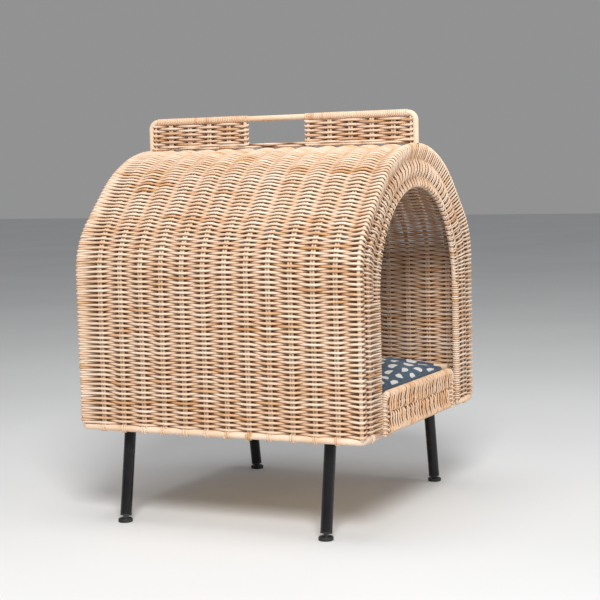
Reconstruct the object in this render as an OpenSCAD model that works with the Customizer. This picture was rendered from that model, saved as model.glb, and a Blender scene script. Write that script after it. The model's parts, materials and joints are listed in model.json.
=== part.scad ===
// Hooded wicker pet bed: a lift-off barrel hood over a woven tray on four splayed tube legs.
// The origin is on the floor, midway between the feet. +Z is up and the doorway faces -Y.

/* [Hood] */
// Outside width of the hood, side wall to side wall
hood_w = 420; // [400:5:440]
// Outside depth of the hood, front hoop to back hoop
hood_d = 430; // [410:5:460]
// Height of the barrel, from the hood's lower edge to its crown
hood_h = 386; // [370:2:400]
// Radius of the bend from a side wall into the roof
shoulder_r = 96; // [88:2:104]
// Angle that a shoulder bend turns through
shoulder_angle = 45; // [42:1:48]
// Length of the straight slope between shoulder and crown
slope_l = 60; // [50:2:70]

/* [Doorway] */
// Clear width of the doorway
door_w = 285; // [270:5:290]
// Height of the doorway's crown above the hood's lower edge
door_h = 325; // [310:5:330]

/* [Wicker] */
// Diameter of one weaving strand, which is the thickness of each woven face
strand_d = 2.9; // [2.6:0.1:3.2]
// Diameter of one stake, the thin rod that the strands pass on either side of
stake_d = 3.6; // [3:0.2:4]
// Pairs of stakes that bend over the barrel between its front and back hoops
barrel_pairs = 12; // [9:1:14]
// Pairs of upright stakes in the back wall
back_pairs = 11; // [8:1:13]

/* [Ridge handle] */
// Height of the woven handle panel above the crown
ridge_h = 47.5; // [44:0.5:52]
// Radius of the bend at each upper corner of the handle
ridge_corner_r = 15; // [12:1:18]
// Front end of the hand hole
hole_front_y = -44; // [-55:1:-35]
// Back end of the hand hole
hole_back_y = 50; // [40:1:60]

/* [Tray and sill] */
// Gap between the tray's walls and the inside of the hood
tray_gap = 4.4; // [3:0.2:5]
// Height of the tray's walls
tray_h = 45; // [40:1:50]
// Height of the sill that closes the foot of the doorway
sill_h = 59.5; // [56:0.5:64]
// Gap between each end of the sill and the doorway's side
sill_gap = 9; // [6:0.5:10]
// Thickness of the sill, front to back
sill_t = 12; // [11:0.5:13]
// Thickness of the tray's plywood floor
floor_t = 9; // [6:1:12]

/* [Legs and feet] */
// Height of the hood's lower edge above the floor
stand_h = 128; // [110:2:150]
// Distance of a foot's centre from the middle plane
foot_x = 199; // [190:1:199]
// Distance of a leg's axis from the middle plane, at the hood's lower edge
leg_top_x = 178; // [172:1:178]
// Distance of the legs from the middle, front to back
leg_y = 153.5; // [140:0.5:160]
// Outside diameter of a leg's tube
leg_d = 16; // [14:0.5:16]
// Wall thickness of a leg's tube
leg_wall = 1.5; // [1:0.25:2]
// Diameter of a glide's pad
pad_d = 20; // [18:1:20]

/* [Cushion] */
// Width of the cushion
cushion_w = 366; // [340:2:368]
// Length of the cushion, front to back
cushion_l = 372; // [350:2:374]
// Thickness of the cushion
cushion_h = 66; // [45:1:74]
// Corner radius of the cushion, seen from above
cushion_r = 34; // [20:2:60]

/* [Hidden] */
$fn = 96;
// Angle between neighbouring points where a woven wall follows an arc
arc_step = 3;

// The stakes have a little play between the two woven faces.
stake_play = 0.2;
wall_t = 2 * strand_d + stake_d + stake_play;
half_w = hood_w / 2;
half_d = hood_d / 2;
crown_z = stand_h + hood_h;
hoop_x = half_w - wall_t / 2;
hoop_y = half_d - wall_t / 2;
foot_rod_z = stand_h + wall_t / 2;
weave_foot_z = stand_h + wall_t;
stake_inset = wall_t / 2;
// The two stakes of a pair lie a hair apart.
pair_x = stake_d / 2 + 0.1;

// The arch is a shoulder arc, a straight slope, a crown arc, and the first two again in mirror image, all
// tangent where they meet.
function direction(angle) = [cos(angle), sin(angle)];
shoulder_at = [half_w - shoulder_r, 0];
slope_foot = shoulder_at + shoulder_r * direction(shoulder_angle);
slope_head = slope_foot + slope_l * direction(shoulder_angle + 90);
crown_r = slope_head.x / cos(shoulder_angle);
crown_at = slope_head - crown_r * direction(shoulder_angle);
spring_z = crown_z - crown_at.y - crown_r;
function lifted(point, side = 1) = [side * point.x, point.y + spring_z];
// Each arc is its centre, its outside radius, and the angles where it starts and ends.
ARCH = [
    [lifted(shoulder_at), shoulder_r, 0, shoulder_angle],
    [lifted(crown_at), crown_r, shoulder_angle, 180 - shoulder_angle],
    [lifted(shoulder_at, -1), shoulder_r, 180 - shoulder_angle, 180]
];
function arc_point(arc, angle, r) = arc[0] + r * direction(angle);
// Points along an arc at radius r, close enough together to look smooth.
function arc_points(arc, r) =
    let (steps = ceil((arc[3] - arc[2]) / arc_step))
    [for (k = [0 : steps]) arc_point(arc, arc[2] + (arc[3] - arc[2]) * k / steps, r)];
// Height of the arch above the point x, measured on the curve that lies `inset` inside the outside surface.
function arch_height(x, inset) =
    let (
        away = abs(x),
        foot = lifted(slope_foot) - inset * direction(shoulder_angle),
        head = lifted(slope_head) - inset * direction(shoulder_angle)
    )
    away < head.x ? lifted(crown_at).y + sqrt(pow(crown_r - inset, 2) - away * away)
        : away < foot.x ? head.y + (head.x - away) / tan(shoulder_angle)
        : spring_z + sqrt(pow(shoulder_r - inset, 2) - pow(away - shoulder_at.x, 2));

door_spring_z = stand_h + door_h - door_w / 2;
front_stake_inset = (half_w - door_w / 2) / 2;

barrel_pitch = 2 * hoop_y / (barrel_pairs + 1);
barrel_ys = [for (i = [1 : barrel_pairs]) i * barrel_pitch - hoop_y];
back_pitch = 2 * hoop_x / (back_pairs + 1);
back_xs = [for (i = [1 : back_pairs]) i * back_pitch - hoop_x];
lashing_t = 0.6;
lashing_w = 7;
lashing_gap = 0.3;

rail_d = 8;
binding_d = 10.4;
rail_z = crown_z + ridge_h - binding_d / 2;
rail_y = half_d - rail_d / 2;
ridge_weave_top = rail_z - binding_d / 2 - 0.2;
ridge_ys = [for (y = barrel_ys) if (y < hole_front_y - 12 || y > hole_back_y + 12) y];
post_d = 7.2;
// Height of the woven rows that run on under the hand hole
ridge_base_h = 6;

tray_x = half_w - wall_t - tray_gap;
tray_y = half_d - wall_t - tray_gap;
tray_top_z = stand_h + tray_h;
tray_rod_x = tray_x - wall_t / 2;
tray_rod_y = tray_y - wall_t / 2;
tray_gap_x = door_w / 2 - sill_gap - wall_t;
tray_pairs_x = 9;
tray_pairs_y = 10;
floor_z = stand_h + wall_t;
floor_top_z = floor_z + floor_t;

sill_x = door_w / 2 - sill_gap;
sill_y = sill_t / 2 - half_d;
sill_rod_d = sill_t - 2 * strand_d;
sill_rod_x = sill_x - 5;
sill_bend_r = 12;
sill_weave_x = sill_rod_x - sill_bend_r;
sill_top_z = stand_h + sill_h;
sill_rail_z = sill_top_z - sill_t / 2;
sill_binding_d = 10;

// The ledge rods hang just above the tray's rim, which carries the hood.
ledge_d = 10;
ledge_x = half_w - wall_t - ledge_d / 2;
rim_rod_z = tray_top_z - wall_t / 2;
rest_gap = 0.3;
ledge_reach = (ledge_d + wall_t) / 2;
ledge_z = rim_rod_z + sqrt(pow(ledge_reach, 2) - pow(ledge_x - tray_rod_x, 2)) + rest_gap;
ledge_half_l = 180;

splay = atan((foot_x - leg_top_x) / stand_h);
plate_t = 3;
plate_w = 52;
plate_l = 60;
plate_x = tray_x - wall_t - plate_w / 2 - 0.4;
plate_z = floor_z - plate_t;
screw_d = 4;
screw_head_d = 8;
screw_head_h = 2.4;
screw_depth = 7;
screw_spots = [for (x = [-18, 16], y = [-22, 22]) [x, y]];
tube_end = 11;
insert_flange = 2;
insert_l = 20;
stem_d = 7.94;
stem_bore_d = 8.1;
stem_top = 40;
pad_t = 5;
pad_bevel = 1;

cover_t = 1.5;

// ---- Shared shapes ----

module rod_along_x(y, z, d, from_x, to_x) {
    translate([from_x, y, z]) rotate([0, 90, 0]) cylinder(d = d, h = to_x - from_x);
}

module rod_along_y(x, z, d, from_y, to_y) {
    translate([x, from_y, z]) rotate([-90, 0, 0]) cylinder(d = d, h = to_y - from_y);
}

module rod_upright(x, y, d, from_z, to_z) {
    translate([x, y, from_z]) cylinder(d = d, h = to_z - from_z);
}

// A round rod bent to an arc in the XZ plane, about the point [x, z].
module bent_rod(centre, r, from_angle, to_angle, d) {
    translate([centre.x, 0, centre.y]) rotate([90, 0, 0]) rotate([0, 0, from_angle])
        rotate_extrude(angle = to_angle - from_angle) translate([r, 0]) circle(d = d);
}

// A rod that rises from foot_z at one side, follows the arch and comes down at the other.
module arch_rod(inset, y, d, foot_z) {
    slope_start = lifted(slope_foot) - inset * direction(shoulder_angle);
    translate([0, y, 0]) {
        for (side = [0, 1]) mirror([side, 0, 0]) {
            rod_upright(half_w - inset, 0, d, foot_z, spring_z);
            translate([slope_start.x, 0, slope_start.y]) rotate([0, -shoulder_angle, 0])
                cylinder(d = d, h = slope_l);
        }
        for (arc = ARCH) bent_rod(arc[0], arc[1] - inset, arc[2], arc[3], d);
    }
}

// The area under the arch, `inset` inside its outside surface, drawn in X and Z.
module arch_area(inset, foot_z) {
    curve = [for (arc = ARCH) each arc_points(arc, arc[1] - inset)];
    polygon(concat([[inset - half_w, foot_z], [half_w - inset, foot_z]], curve));
}

// The doorway's area, grown outwards all round.
module door_area(grow) {
    r = door_w / 2 + grow;
    polygon(concat([[-r, 0], [r, 0]], arc_points([[0, door_spring_z], r, 0, 180], r)));
}

// A flat plate in the XZ plane from from_y towards +Y.
module standing_plate(from_y, t) {
    translate([0, from_y + t, 0]) rotate([90, 0, 0]) linear_extrude(t) children();
}

// Both woven faces of a flat wall whose outside is at from_y.
module woven_faces(from_y) {
    for (y = [from_y, from_y + wall_t - strand_d]) standing_plate(y, strand_d) children();
}

module stake_pair_y() {
    for (side = [-1, 1]) translate([0, side * pair_x, 0]) children();
}

module stake_pair_x() {
    for (side = [-1, 1]) translate([side * pair_x, 0, 0]) children();
}

module lashing() {
    difference() {
        cylinder(d = wall_t + 2 * lashing_t, h = lashing_w, center = true);
        cylinder(d = wall_t, h = 2 * lashing_w, center = true);
    }
}

module rounded_area(w, l, r) {
    square([w - 2 * r, l], center = true);
    square([w, l - 2 * r], center = true);
    for (x = [-1, 1], y = [-1, 1]) translate([x * (w / 2 - r), y * (l / 2 - r)]) circle(r = r);
}

// ---- Hood: front arch ----

module front_outer_hoop() {
    color("burlywood") arch_rod(wall_t / 2, -hoop_y, wall_t, stand_h);
}

module front_rim_hoop() {
    rim_r = (door_w + wall_t) / 2;
    color("burlywood") translate([0, -hoop_y, 0]) {
        for (side = [-1, 1]) rod_upright(side * rim_r, 0, wall_t, stand_h, door_spring_z);
        bent_rod([0, door_spring_z], rim_r, 0, 180, wall_t);
    }
}

module front_stakes() {
    color("peru") for (side = [-1, 1])
        arch_rod(front_stake_inset + side * pair_x, -hoop_y, stake_d, weave_foot_z);
}

module front_weave() {
    color("tan") woven_faces(-half_d) difference() {
        arch_area(wall_t, weave_foot_z);
        door_area(wall_t);
    }
}

// ---- Hood: back wall ----

module back_outer_hoop() {
    color("burlywood") arch_rod(wall_t / 2, hoop_y, wall_t, stand_h);
}

module back_stakes() {
    color("peru") for (x = back_xs) translate([x, 0, 0]) stake_pair_x()
        rod_upright(0, hoop_y, stake_d, weave_foot_z, arch_height(abs(x) + stake_d, wall_t) - 0.5);
}

module back_weave() {
    color("tan") woven_faces(half_d - wall_t) arch_area(wall_t, weave_foot_z);
}

// ---- Hood: barrel ----

module barrel_stakes() {
    color("peru") for (y = barrel_ys) translate([0, y, 0]) stake_pair_y()
        arch_rod(stake_inset, 0, stake_d, weave_foot_z);
}

module barrel_weave() {
    color("tan") for (inset = [0, wall_t - strand_d]) standing_plate(wall_t - half_d, hood_d - 2 * wall_t)
        difference() {
            arch_area(inset, weave_foot_z);
            arch_area(inset + strand_d, weave_foot_z - 1);
        }
}

// ---- Hood: lower border ----

module side_foot_rods() {
    color("burlywood") for (side = [-1, 1])
        rod_along_y(side * hoop_x, foot_rod_z, wall_t, wall_t - half_d, half_d - wall_t);
}

module back_foot_rod() {
    color("burlywood") rod_along_x(hoop_y, foot_rod_z, wall_t, wall_t - half_w, half_w - wall_t);
}

module jamb_foot_rods() {
    color("burlywood") for (side = [0, 1]) mirror([side, 0, 0])
        rod_along_x(-hoop_y, foot_rod_z, wall_t, door_w / 2 + wall_t, half_w - wall_t);
}

// The strips stop just short of the woven walls that stand on the rods.
module foot_lashings() {
    color("wheat") intersection() {
        union() {
            for (side = [-1, 1], y = barrel_ys)
                translate([side * hoop_x, y, foot_rod_z]) rotate([90, 0, 0]) lashing();
            for (x = back_xs) translate([x, hoop_y, foot_rod_z]) rotate([0, 90, 0]) lashing();
            for (side = [-1, 1])
                translate([side * (half_w - front_stake_inset), -hoop_y, foot_rod_z])
                    rotate([0, 90, 0]) lashing();
        }
        translate([-hood_w, -hood_d, 0]) cube([2 * hood_w, 2 * hood_d, weave_foot_z - lashing_gap]);
    }
}

module ledge_rods() {
    color("burlywood") for (side = [-1, 1])
        rod_along_y(side * ledge_x, ledge_z, ledge_d, -ledge_half_l, ledge_half_l);
}

// ---- Hood: ridge handle ----

module ridge_rail() {
    bend_r = ridge_corner_r - rail_d / 2;
    bend_z = rail_z - bend_r;
    color("burlywood") {
        for (end = [-1, 1]) {
            rod_upright(0, end * rail_y, rail_d, crown_z, bend_z);
            translate([0, end * (rail_y - bend_r), 0]) rotate([0, 0, end * 90])
                bent_rod([0, bend_z], bend_r, 0, 90, rail_d);
        }
        rod_along_y(0, rail_z, rail_d, bend_r - rail_y, rail_y - bend_r);
    }
}

module ridge_posts() {
    color("burlywood") for (y = [hole_front_y - post_d / 2, hole_back_y + post_d / 2])
        rod_upright(0, y, post_d, crown_z, rail_z - rail_d / 2);
}

module ridge_stakes() {
    color("peru") for (y = ridge_ys) translate([0, y, 0]) stake_pair_y()
        rod_upright(0, 0, stake_d, crown_z, ridge_weave_top);
}

// The stretches of the ridge on either side of the hand hole, as [from, to] along Y.
ridge_panels = [
    [rail_d - half_d, hole_front_y - post_d],
    [hole_back_y + post_d, half_d - rail_d]
];

module ridge_weave() {
    color("tan") for (x = [-wall_t / 2, wall_t / 2 - strand_d]) {
        for (panel = ridge_panels)
            translate([x, panel[0], crown_z])
                cube([strand_d, panel[1] - panel[0], ridge_weave_top - crown_z]);
        translate([x, hole_front_y, crown_z])
            cube([strand_d, hole_back_y - hole_front_y, ridge_base_h]);
    }
}

module ridge_bindings() {
    bound = [[ridge_corner_r - half_d, ridge_panels[0][1]], [ridge_panels[1][0], half_d - ridge_corner_r]];
    color("wheat") for (span = bound) difference() {
        rod_along_y(0, rail_z, binding_d, span[0], span[1]);
        rod_along_y(0, rail_z, rail_d, span[0] - 1, span[1] + 1);
    }
}

// ---- Tray ----

module tray_floor() {
    color("khaki") difference() {
        translate([0, 0, floor_z]) union() {
            translate([wall_t - tray_x, wall_t - tray_y, 0])
                cube([2 * (tray_x - wall_t), 2 * (tray_y - wall_t), floor_t]);
            translate([-tray_gap_x, sill_t - half_d, 0])
                cube([2 * tray_gap_x, wall_t + tray_gap + 8, floor_t]);
        }
        for (x = [-1, 1], y = [-1, 1], spot = screw_spots)
            translate([x * (plate_x + spot.x), y * leg_y + spot.y, floor_z - 1])
                cylinder(d = screw_d + 0.04, h = screw_depth + 1);
    }
}

// A square-cornered ring of rod with a ball at each corner, level, at height z.
module tray_ring(z) {
    for (side = [-1, 1]) {
        rod_along_y(side * tray_rod_x, z, wall_t, -tray_rod_y, tray_rod_y);
        rod_along_x(side * tray_rod_y, z, wall_t, -tray_rod_x, tray_rod_x);
        for (end = [-1, 1]) translate([side * tray_rod_x, end * tray_rod_y, z]) sphere(d = wall_t);
    }
}

module tray_foot_rod() {
    color("burlywood") tray_ring(foot_rod_z);
}

// The rim stops at the doorway, where the sill stands in front of it.
module tray_rim_rod() {
    color("burlywood") difference() {
        tray_ring(rim_rod_z);
        translate([-tray_gap_x, -half_d, stand_h]) cube([2 * tray_gap_x, 2 * wall_t, hood_h]);
    }
}

tray_stake_xs = [for (i = [1 : tray_pairs_x]) 2 * tray_rod_x * i / (tray_pairs_x + 1) - tray_rod_x];
tray_stake_ys = [for (i = [1 : tray_pairs_y]) 2 * tray_rod_y * i / (tray_pairs_y + 1) - tray_rod_y];

module tray_stakes() {
    top_z = rim_rod_z - wall_t / 2;
    color("peru") {
        for (x = tray_stake_xs) translate([x, 0, 0]) stake_pair_x()
            rod_upright(0, tray_rod_y, stake_d, weave_foot_z, top_z);
        for (x = tray_stake_xs) if (abs(x) > tray_gap_x + wall_t) translate([x, 0, 0]) stake_pair_x()
            rod_upright(0, -tray_rod_y, stake_d, weave_foot_z, top_z);
        for (side = [-1, 1], y = tray_stake_ys) translate([0, y, 0]) stake_pair_y()
            rod_upright(side * tray_rod_x, 0, stake_d, weave_foot_z, top_z);
    }
}

module tray_weave() {
    color("tan") for (inset = [0, wall_t - strand_d])
        translate([0, 0, weave_foot_z]) linear_extrude(tray_h - 2 * wall_t) difference() {
            square(2 * [tray_x - inset, tray_y - inset], center = true);
            square(2 * [tray_x - inset - strand_d, tray_y - inset - strand_d], center = true);
            translate([-tray_gap_x, -half_d]) square([2 * tray_gap_x, half_d]);
        }
}

// ---- Sill ----

module sill_frame_path(d) {
    bend_z = sill_rail_z - sill_bend_r;
    translate([0, sill_y, 0]) for (side = [0, 1]) mirror([side, 0, 0]) {
        rod_upright(sill_rod_x, 0, d, stand_h, bend_z);
        bent_rod([sill_weave_x, bend_z], sill_bend_r, 0, 90, d);
    }
}

module sill_frame_rod() {
    color("burlywood") {
        sill_frame_path(sill_rod_d);
        rod_along_x(sill_y, sill_rail_z, sill_rod_d, -sill_weave_x, sill_weave_x);
    }
}

module sill_bottom_rail() {
    color("burlywood") rod_along_x(
        sill_y, stand_h + sill_t / 2, sill_rod_d, -sill_weave_x, sill_weave_x
    );
}

module sill_mid_rails() {
    color("peru") for (k = [1, 2]) rod_along_x(
        sill_y, stand_h + k * sill_h / 3, sill_rod_d, -sill_weave_x, sill_weave_x
    );
}

// A slot shape in the YZ plane, as wide as its rounded ends.
module sill_slot(w) {
    for (z = [stand_h + sill_t / 2, sill_rail_z]) translate([sill_y, z]) circle(d = w);
    translate([sill_y - w / 2, stand_h + sill_t / 2]) square([w, sill_h - sill_t]);
}

module sill_weave() {
    color("tan") translate([-sill_weave_x, 0, 0]) rotate([90, 0, 90]) linear_extrude(2 * sill_weave_x)
        difference() {
            sill_slot(sill_t);
            sill_slot(sill_rod_d);
        }
}

module sill_bindings() {
    color("wheat") difference() {
        sill_frame_path(sill_binding_d);
        sill_frame_path(sill_rod_d);
    }
}

// ---- Legs and feet ----

// Puts its children on a leg's axis: local Z runs up the leg from the floor.
module on_leg(side, end) {
    translate([side * foot_x, end * leg_y, 0]) rotate([0, -side * splay, 0]) children();
}

module leg(side, end) {
    color("black") intersection() {
        on_leg(side, end) translate([0, 0, tube_end]) difference() {
            cylinder(d = leg_d, h = 2 * stand_h);
            translate([0, 0, -1]) cylinder(d = leg_d - 2 * leg_wall, h = 2 * stand_h + 2);
        }
        translate([-hood_w, -hood_d, 0]) cube([2 * hood_w, 2 * hood_d, plate_z]);
    }
}

module leg_front_left() { leg(-1, -1); }
module leg_front_right() { leg(1, -1); }
module leg_back_left() { leg(-1, 1); }
module leg_back_right() { leg(1, 1); }

module leg_plates() {
    color("black") for (x = [-1, 1], y = [-1, 1]) difference() {
        translate([x * plate_x - plate_w / 2, y * leg_y - plate_l / 2, plate_z])
            cube([plate_w, plate_l, plate_t]);
        for (spot = screw_spots) translate([x * (plate_x + spot.x), y * leg_y + spot.y, plate_z - 1])
            cylinder(d = screw_d + 0.4, h = plate_t + 2);
    }
}

module plate_screws() {
    color("silver") for (x = [-1, 1], y = [-1, 1], spot = screw_spots)
        translate([x * (plate_x + spot.x), y * leg_y + spot.y, plate_z]) {
            translate([0, 0, -screw_head_h]) cylinder(d = screw_head_d, h = screw_head_h);
            cylinder(d = screw_d, h = plate_t + screw_depth - 1);
        }
}

module leg_inserts() {
    color("dimgray") for (side = [-1, 1], end = [-1, 1]) on_leg(side, end) difference() {
        union() {
            translate([0, 0, tube_end - insert_flange]) cylinder(d = leg_d, h = insert_flange);
            translate([0, 0, tube_end]) cylinder(d = leg_d - 2 * leg_wall, h = insert_l);
        }
        cylinder(d = stem_bore_d, h = 2 * stand_h);
    }
}

module glide_stem(side, end) {
    color("silver") intersection() {
        on_leg(side, end) cylinder(d = stem_d, h = stem_top);
        translate([side * foot_x, end * leg_y, pad_t]) cylinder(d = 3 * leg_d, h = stand_h);
    }
}

module glide_stem_front_left() { glide_stem(-1, -1); }
module glide_stem_front_right() { glide_stem(1, -1); }
module glide_stem_back_left() { glide_stem(-1, 1); }
module glide_stem_back_right() { glide_stem(1, 1); }

module glide_pad(side, end) {
    pad_r = pad_d / 2;
    color("black") translate([side * foot_x, end * leg_y, 0]) rotate_extrude() polygon([
        [0, 0], [pad_r - pad_bevel, 0], [pad_r, pad_bevel],
        [pad_r, pad_t - pad_bevel], [pad_r - pad_bevel, pad_t], [0, pad_t]
    ]);
}

module glide_pad_front_left() { glide_pad(-1, -1); }
module glide_pad_front_right() { glide_pad(1, -1); }
module glide_pad_back_left() { glide_pad(-1, 1); }
module glide_pad_back_right() { glide_pad(1, 1); }

// ---- Cushion ----

module cushion_cover() {
    color("steelblue") translate([0, 0, floor_top_z]) difference() {
        linear_extrude(cushion_h) rounded_area(cushion_w, cushion_l, cushion_r);
        translate([0, 0, cover_t]) linear_extrude(cushion_h - 2 * cover_t)
            rounded_area(cushion_w - 2 * cover_t, cushion_l - 2 * cover_t, cushion_r - cover_t);
    }
}

module cushion_filling() {
    color("white") translate([0, 0, floor_top_z + cover_t]) linear_extrude(cushion_h - 2 * cover_t)
        rounded_area(cushion_w - 2 * cover_t, cushion_l - 2 * cover_t, cushion_r - cover_t);
}

front_outer_hoop();
front_rim_hoop();
front_stakes();
front_weave();
back_outer_hoop();
back_stakes();
back_weave();
barrel_stakes();
barrel_weave();
side_foot_rods();
back_foot_rod();
jamb_foot_rods();
foot_lashings();
ledge_rods();
ridge_rail();
ridge_posts();
ridge_stakes();
ridge_weave();
ridge_bindings();
tray_floor();
tray_foot_rod();
tray_rim_rod();
tray_stakes();
tray_weave();
sill_frame_rod();
sill_bottom_rail();
sill_mid_rails();
sill_weave();
sill_bindings();
leg_front_left();
leg_front_right();
leg_back_left();
leg_back_right();
leg_plates();
plate_screws();
leg_inserts();
glide_stem_front_left();
glide_stem_front_right();
glide_stem_back_left();
glide_stem_back_right();
glide_pad_front_left();
glide_pad_front_right();
glide_pad_back_left();
glide_pad_back_right();
cushion_cover();
cushion_filling();
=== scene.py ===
"""Looks of the hooded wicker pet bed: woven rattan hood, tray and sill, printed cushion, black legs."""

import json
import math

import bmesh
import bpy
import numpy as np
from mathutils import Matrix, Vector


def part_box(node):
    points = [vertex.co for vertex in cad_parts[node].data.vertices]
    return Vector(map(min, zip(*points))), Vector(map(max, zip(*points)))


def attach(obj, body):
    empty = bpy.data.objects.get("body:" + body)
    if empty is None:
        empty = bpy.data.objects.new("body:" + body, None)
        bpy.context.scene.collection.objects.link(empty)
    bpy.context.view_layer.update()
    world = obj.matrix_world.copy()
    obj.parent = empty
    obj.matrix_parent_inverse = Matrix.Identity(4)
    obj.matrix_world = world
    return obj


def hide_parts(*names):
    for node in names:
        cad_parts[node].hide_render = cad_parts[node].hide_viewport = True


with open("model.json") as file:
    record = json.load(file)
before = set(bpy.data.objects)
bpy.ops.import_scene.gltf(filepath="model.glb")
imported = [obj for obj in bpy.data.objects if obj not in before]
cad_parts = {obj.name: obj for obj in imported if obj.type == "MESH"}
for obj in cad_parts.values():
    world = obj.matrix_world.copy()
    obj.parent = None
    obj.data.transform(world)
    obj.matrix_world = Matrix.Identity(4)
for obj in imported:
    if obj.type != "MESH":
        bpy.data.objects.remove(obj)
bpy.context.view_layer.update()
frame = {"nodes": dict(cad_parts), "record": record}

MM = 0.001

# ---- Sizes that the design's arch and weave follow, in metres ----
SHOULDER_R = 96 * MM
SHOULDER_ANGLE = math.radians(45)
SLOPE_L = 60 * MM
WALL_T = 9.6 * MM
STAKE_D = 3.6 * MM
STRAND_D = 3.6 * MM
STRAND_PITCH = 3.27 * MM
BARREL_PAIRS = 12
BACK_PAIRS = 11
ROD_D = 5.2 * MM
RIM_ROD_D = 4.4 * MM
# The rim's rod lies this much outside the middle of the design's rod, which keeps the strands round it
# within that rod.
RIM_OUTWARD = 0.8 * MM

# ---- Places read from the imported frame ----
hoop_low, hoop_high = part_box("front_outer_hoop")
HALF_W = hoop_high[0]
STAND_Z = hoop_low[2]
CROWN_Z = hoop_high[2]
BACK_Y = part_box("back_outer_hoop")[1][1]
rim_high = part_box("front_rim_hoop")[1]
RIM_R = rim_high[0] - WALL_T / 2 + RIM_OUTWARD
RIM_SPRING_Z = rim_high[2] - rim_high[0]
HOOP_Y = BACK_Y - WALL_T / 2
FOOT_TOP_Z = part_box("side_foot_rods")[1][2]

rng = np.random.default_rng(7)


def direction(angle):
    return np.array([math.cos(angle), math.sin(angle)])


def walked(points):
    """How far each point is from the first, along the points."""
    gaps = np.linalg.norm(np.diff(points, axis=0), axis=1)
    return np.concatenate([[0], np.cumsum(gaps)])


def put_in_scene(name, data):
    made = bpy.data.objects.new(name, data)
    bpy.context.scene.collection.objects.link(made)
    return made


# ---- The hood's arch, walked by length from the left foot over the crown to the right foot ----
SHOULDER_AT = np.array([HALF_W - SHOULDER_R, 0.0])
SLOPE_FOOT = SHOULDER_AT + SHOULDER_R * direction(SHOULDER_ANGLE)
SLOPE_HEAD = SLOPE_FOOT + SLOPE_L * direction(SHOULDER_ANGLE + math.pi / 2)
CROWN_R = SLOPE_HEAD[0] / math.cos(SHOULDER_ANGLE)
CROWN_AT_Z = SLOPE_HEAD[1] - CROWN_R * math.sin(SHOULDER_ANGLE)
SPRING_Z = CROWN_Z - CROWN_AT_Z - CROWN_R


class Arch:
    """The curve that lies `inset` inside the hood's outside surface, in X and Z."""

    def __init__(self, inset=WALL_T / 2, foot_z=None):
        self.inset = inset
        self.foot_z = FOOT_TOP_Z if foot_z is None else foot_z
        self.upright = SPRING_Z - self.foot_z
        self.shoulder = (SHOULDER_R - inset) * SHOULDER_ANGLE
        self.crown_half = (CROWN_R - inset) * (math.pi / 2 - SHOULDER_ANGLE)
        self.half = self.upright + self.shoulder + SLOPE_L + self.crown_half
        self.length = 2 * self.half

    def _right(self, s):
        """A point and its outward direction, s along the right half from its foot."""
        if s < self.upright:
            return np.array([HALF_W - self.inset, self.foot_z + s]), direction(0.0)
        s -= self.upright
        if s < self.shoulder:
            angle = s / (SHOULDER_R - self.inset)
            out = direction(angle)
            return SHOULDER_AT + [0, SPRING_Z] + (SHOULDER_R - self.inset) * out, out
        s -= self.shoulder
        out = direction(SHOULDER_ANGLE)
        if s < SLOPE_L:
            along = direction(SHOULDER_ANGLE + math.pi / 2)
            return SLOPE_FOOT + [0, SPRING_Z] - self.inset * out + s * along, out
        s -= SLOPE_L
        angle = SHOULDER_ANGLE + s / (CROWN_R - self.inset)
        out = direction(min(angle, math.pi / 2))
        return np.array([0, SPRING_Z + CROWN_AT_Z]) + (CROWN_R - self.inset) * out, out

    def at(self, s):
        """The point and outward direction at length s from the left foot."""
        if s > self.half:
            return self._right(self.length - s)
        point, out = self._right(s)
        return point * [-1, 1], out * [-1, 1]


# ---- Tubes: every strand and rod is swept by this ----
# The height above the middle of the wall at which a point counts as fully open, so that it gets no
# painted shade.
LEVEL_FULL = 3.2 * MM


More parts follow.
